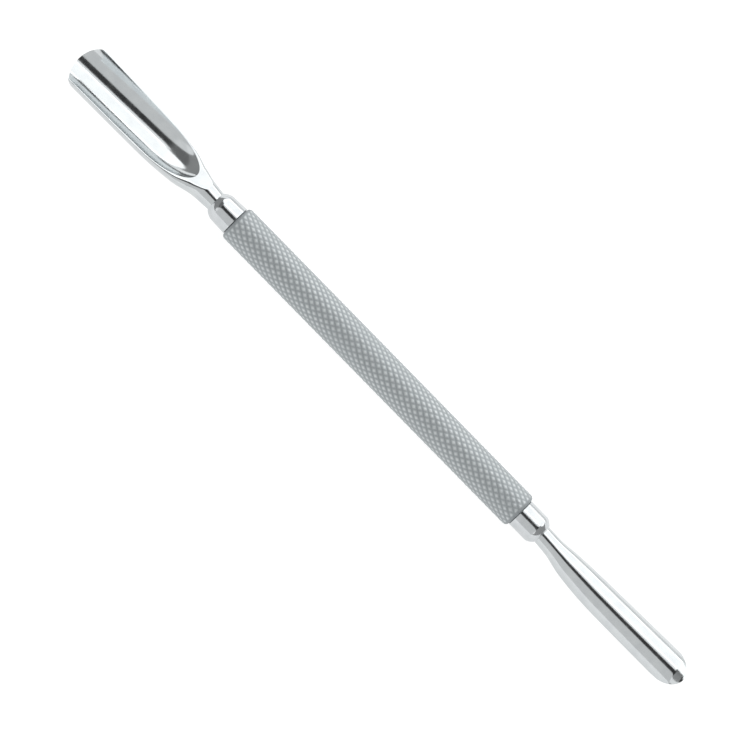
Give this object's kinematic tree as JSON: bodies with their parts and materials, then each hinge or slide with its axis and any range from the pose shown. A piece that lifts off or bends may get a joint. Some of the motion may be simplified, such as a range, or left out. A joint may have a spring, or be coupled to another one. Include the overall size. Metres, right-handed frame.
{
  "type": "cuticle pusher",
  "caption": "Two-ended stainless steel cuticle pusher: knurled round grip, smooth collars, a large open scoop at one end and a narrower scoop facing the other way at the other.",
  "frame": {"origin": "on the tool's axis, at the middle of the knurled grip's length", "axes": "+X along the tool from the grip towards the small scoop, +Z to the side that the large scoop opens on (the small scoop opens towards -Z), +Y square to both"},
  "size_m": [0.1401, 0.0088, 0.0064],
  "materials": {
    "knurled_steel": "fine diamond knurl, satin",
    "polished_steel": "mirror polished stainless steel"
  },
  "bodies": {
    "root": {"grip": "knurled_steel", "large_collar": "polished_steel", "large_scoop": "polished_steel", "small_collar": "polished_steel", "small_scoop": "polished_steel"}
  },
  "joints": []
}
